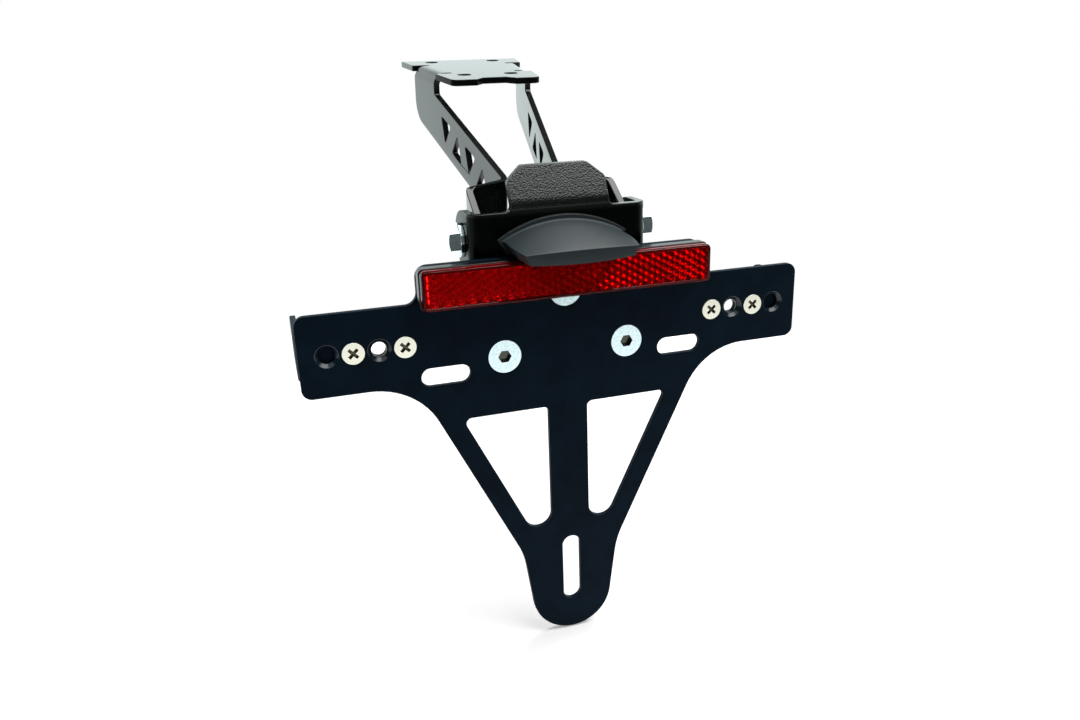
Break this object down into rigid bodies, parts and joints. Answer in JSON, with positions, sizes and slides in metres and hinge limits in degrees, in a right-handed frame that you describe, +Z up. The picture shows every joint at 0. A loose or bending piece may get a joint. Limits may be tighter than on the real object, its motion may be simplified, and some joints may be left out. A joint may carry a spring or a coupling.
{
  "type": "motorbike tail tidy",
  "caption": "Folded black bracket that bolts under a motorbike's tail and carries a tilting number plate holder with a red reflector, a lamp and indicator brackets.",
  "frame": {"origin": "on the upper face of the subframe plate, on the centre line midway between its two rows of holes", "axes": "+X to the right seen from behind the bike, +Y forward along the bike, +Z up out of the subframe plate"},
  "size_m": [0.1828, 0.1674, 0.1935],
  "materials": {
    "bracket_powder_coat": "satin black powder coat on steel sheet",
    "tilt_powder_coat": "gloss black powder coat, fine grain on the tongue",
    "carrier_powder_coat": "fine matt black powder coat",
    "foam": "matt foam tape",
    "black_plastic": "smooth black plastic",
    "red_acrylic": "clear red with moulded prisms behind",
    "lamp_plastic": "fine satin dark grey",
    "black_rubber": "matt",
    "clear_lens": "clear plastic lens",
    "board": "white solder mask",
    "diode": "yellow phosphor",
    "zinc_plated_steel": "bright zinc plate",
    "nickel_plated_steel": "satin nickel plate"
  },
  "bodies": {
    "subframe": {"subframe_bracket": "bracket_powder_coat", "pivot_bolt_left": "zinc_plated_steel", "pivot_washer_left": "zinc_plated_steel", "friction_washer_left": "black_plastic", "inner_washer_left": "zinc_plated_steel", "pivot_nut_left": "zinc_plated_steel", "pivot_bolt_right": "zinc_plated_steel", "pivot_washer_right": "zinc_plated_steel", "friction_washer_right": "black_plastic", "inner_washer_right": "zinc_plated_steel", "pivot_nut_right": "zinc_plated_steel"},
    "carrier": {"tilt_bracket": "tilt_powder_coat", "plate_carrier": "carrier_powder_coat", "reflector_pad": "foam", "reflector_housing": "black_plastic", "reflector_lens": "red_acrylic", "lamp_housing": "lamp_plastic", "lamp_gasket": "black_rubber", "lamp_lens": "clear_lens", "lamp_board": "board", "lamp_diodes": "diode", "lamp_screws": "zinc_plated_steel", "lamp_grommet": "black_rubber", "carrier_screws": "zinc_plated_steel", "carrier_nuts": "zinc_plated_steel", "indicator_bracket_left": "carrier_powder_coat", "indicator_screws_left": "nickel_plated_steel", "indicator_nuts_left": "zinc_plated_steel", "indicator_bracket_right": "carrier_powder_coat", "indicator_screws_right": "nickel_plated_steel", "indicator_nuts_right": "zinc_plated_steel"}
  },
  "joints": [
    {"name": "plate_tilt", "type": "hinge", "parent": "subframe", "child": "carrier", "pos_m": [0, -0.1042, -0.0435], "axis": [1, 0, 0], "range_deg": [-25, 25]}
  ]
}
